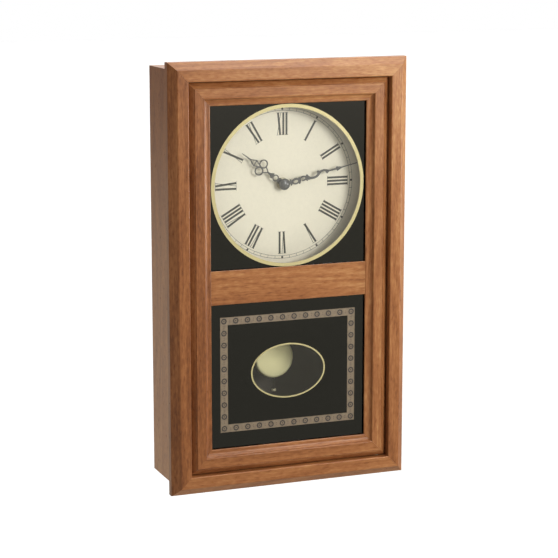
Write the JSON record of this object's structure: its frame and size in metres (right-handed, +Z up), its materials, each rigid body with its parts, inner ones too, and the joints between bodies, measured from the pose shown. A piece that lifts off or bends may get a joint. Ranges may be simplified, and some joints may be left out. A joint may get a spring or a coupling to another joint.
{
  "type": "pendulum wall clock",
  "caption": "Wall clock in a glazed wooden case: hinged door, dial with turning hands, battery movement with a setting knob, and a pendulum that swings behind an oval window.",
  "frame": {"origin": "middle of the round part of the hanger's keyhole, on the wall plane", "axes": "+X to the viewer's right, +Y into the wall, +Z up; the dial faces -Y"},
  "size_m": [0.3048, 0.1016, 0.5208],
  "materials": {
    "cherry": "satin lacquered cherry",
    "panel_board": "dark stained fibreboard",
    "clear_glass": "clear float glass",
    "black_print": "satin black print",
    "gold_print": "gold print",
    "dial_enamel": "cream painted plate",
    "hand_black": "satin black anodised",
    "pendulum_brass": "polished lacquered brass",
    "plain_brass": "turned brass",
    "plain_steel": "zinc plated steel",
    "magnet_grey": "sintered ferrite",
    "movement_plastic": "moulded black plastic",
    "gear_plastic": "moulded natural acetal",
    "coil_copper": "enamelled copper wire",
    "circuit_green": "solder resist on laminate",
    "battery_wrap": "printed steel can",
    "rubber": "moulded rubber"
  },
  "bodies": {
    "case": {"case_left_side": "cherry", "case_right_side": "cherry", "case_top": "cherry", "case_bottom": "cherry", "face_frame_left": "cherry", "face_frame_right": "cherry", "face_frame_top": "cherry", "face_frame_bottom": "cherry", "back_panel": "panel_board", "case_screws": "plain_steel", "hanging_rail": "panel_board", "hanger_plate": "plain_steel", "pivot_bushes": "plain_brass", "door_catch": "movement_plastic", "catch_magnet": "magnet_grey", "dial_cleats": "panel_board", "dial_board": "panel_board", "dial_plate": "dial_enamel", "movement_case": "movement_plastic", "movement_cover": "movement_plastic", "rubber_washer": "rubber", "brass_washer": "plain_brass", "fixing_nut": "plain_brass", "battery": "battery_wrap", "battery_contacts": "plain_steel", "circuit_board": "circuit_green", "stator": "plain_steel", "motor_coil": "coil_copper", "pendulum_coil": "coil_copper", "pendulum_pivot_pin": "plain_brass"},
    "door": {"door_left_stile": "cherry", "door_right_stile": "cherry", "door_top_rail": "cherry", "door_bottom_rail": "cherry", "door_cross_rail": "cherry", "upper_glass": "clear_glass", "lower_glass": "clear_glass", "gold_lines": "gold_print", "dial_mask": "black_print", "pendulum_mask": "black_print", "glazing_strips": "panel_board", "door_pivot_pins": "plain_steel", "strike_plate": "plain_steel"},
    "minute": {"minute_arbor": "plain_brass", "minute_hand": "hand_black", "hand_nut": "hand_black"},
    "hour": {"hour_wheel": "gear_plastic", "hour_hand": "hand_black"},
    "setting": {"setting_arbor": "gear_plastic", "setting_knob": "movement_plastic"},
    "pendulum": {"pendulum_hanger": "movement_plastic", "drive_magnet": "magnet_grey", "pendulum_rod": "pendulum_brass", "pendulum_bob": "pendulum_brass", "rod_end_nut": "pendulum_brass"},
    "rotor": {"rotor": "magnet_grey"},
    "intermediate": {"intermediate_wheel": "gear_plastic"},
    "second": {"second_wheel": "gear_plastic"},
    "third": {"third_wheel": "gear_plastic"},
    "centre": {"centre_wheel": "gear_plastic"}
  },
  "joints": [
    {"name": "door_swing", "type": "hinge", "parent": "case", "child": "door", "pos_m": [0.1186, -0.0891, -0.218], "axis": [0, 0, 1], "range_deg": [0, 95]},
    {"name": "minute_hand_turn", "type": "hinge", "parent": "case", "child": "minute", "pos_m": [0, -0.0516, -0.109], "axis": [0, 1, 0], "continuous": true},
    {"name": "hour_hand_turn", "type": "hinge", "parent": "case", "child": "hour", "pos_m": [0, -0.0516, -0.109], "axis": [0, 1, 0], "continuous": true},
    {"name": "setting_knob_turn", "type": "hinge", "parent": "case", "child": "setting", "pos_m": [0, -0.0516, -0.0976], "axis": [0, 1, 0], "continuous": true},
    {"name": "pendulum_swing", "type": "hinge", "parent": "case", "child": "pendulum", "pos_m": [0, -0.0416, -0.157], "axis": [0, 1, 0], "range_deg": [-4.5, 4.5]},
    {"name": "rotor_spin", "type": "hinge", "parent": "case", "child": "rotor", "pos_m": [0.01217, -0.0516, -0.11853], "axis": [0, 1, 0], "continuous": true},
    {"name": "intermediate_wheel_turn", "type": "hinge", "parent": "case", "child": "intermediate", "pos_m": [0.00395, -0.0516, -0.12153], "axis": [0, 1, 0], "continuous": true},
    {"name": "second_wheel_turn", "type": "hinge", "parent": "case", "child": "second", "pos_m": [-0.00505, -0.0516, -0.12153], "axis": [0, 1, 0], "continuous": true},
    {"name": "third_wheel_turn", "type": "hinge", "parent": "case", "child": "third", "pos_m": [-0.01015, -0.0516, -0.11269], "axis": [0, 1, 0], "continuous": true},
    {"name": "centre_wheel_turn", "type": "hinge", "parent": "case", "child": "centre", "pos_m": [0, -0.0516, -0.109], "axis": [0, 1, 0], "continuous": true}
  ],
  "couplings": [
    {"joint": "hour_hand_turn", "follows": "minute_hand_turn", "ratio": 0.083333},
    {"joint": "setting_knob_turn", "follows": "minute_hand_turn", "ratio": -0.33333},
    {"joint": "intermediate_wheel_turn", "follows": "rotor_spin", "ratio": -0.16667},
    {"joint": "second_wheel_turn", "follows": "rotor_spin", "ratio": 0.033333},
    {"joint": "third_wheel_turn", "follows": "rotor_spin", "ratio": -0.0044444},
    {"joint": "centre_wheel_turn", "follows": "rotor_spin", "ratio": 0.00055556}
  ]
}
